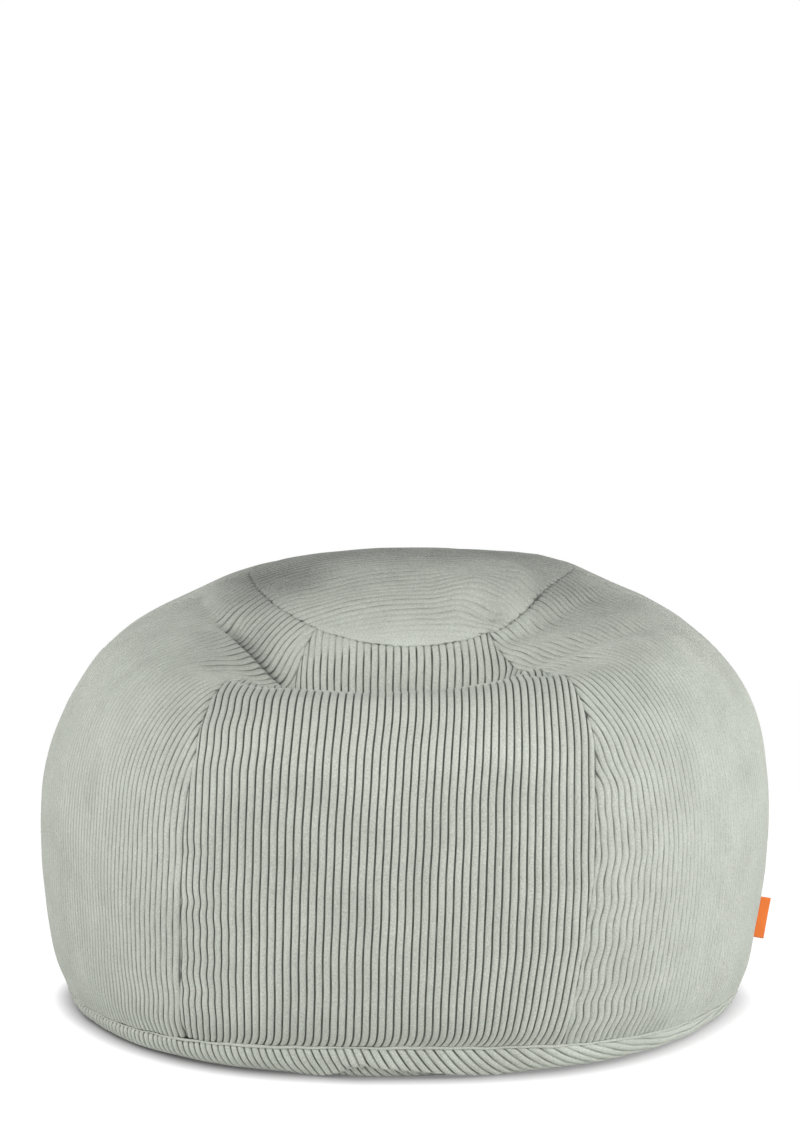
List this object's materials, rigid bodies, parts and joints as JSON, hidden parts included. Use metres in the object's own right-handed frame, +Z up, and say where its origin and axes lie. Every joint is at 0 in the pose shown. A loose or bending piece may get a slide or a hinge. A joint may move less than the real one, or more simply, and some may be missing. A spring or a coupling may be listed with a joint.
{
  "type": "giant bean bag",
  "caption": "Round slumped floor bean bag in pale jumbo cord: seamed side panels, a low front lip under a raised crown, a turned-up base and a blank side label.",
  "frame": {"origin": "centre of the bag's box in plan, on the surface that it rests on", "axes": "+Z up; -Y towards the front, where the bag slumps and the lip is; +X towards the side with the label"},
  "size_m": [1.0176, 0.9812, 0.6205],
  "materials": {
    "jumbo_cord": "soft ribbed pile with a dull sheen, 9.6 mm between wales",
    "woven_ribbon": "fine woven ribbon with a slight sheen"
  },
  "bodies": {
    "root": {"side_panel_front": "jumbo_cord", "side_panel_front_right": "jumbo_cord", "side_panel_back_right": "jumbo_cord", "side_panel_back": "jumbo_cord", "side_panel_back_left": "jumbo_cord", "side_panel_front_left": "jumbo_cord", "top_panel": "jumbo_cord", "base_panel": "jumbo_cord", "side_label": "woven_ribbon"}
  },
  "joints": []
}
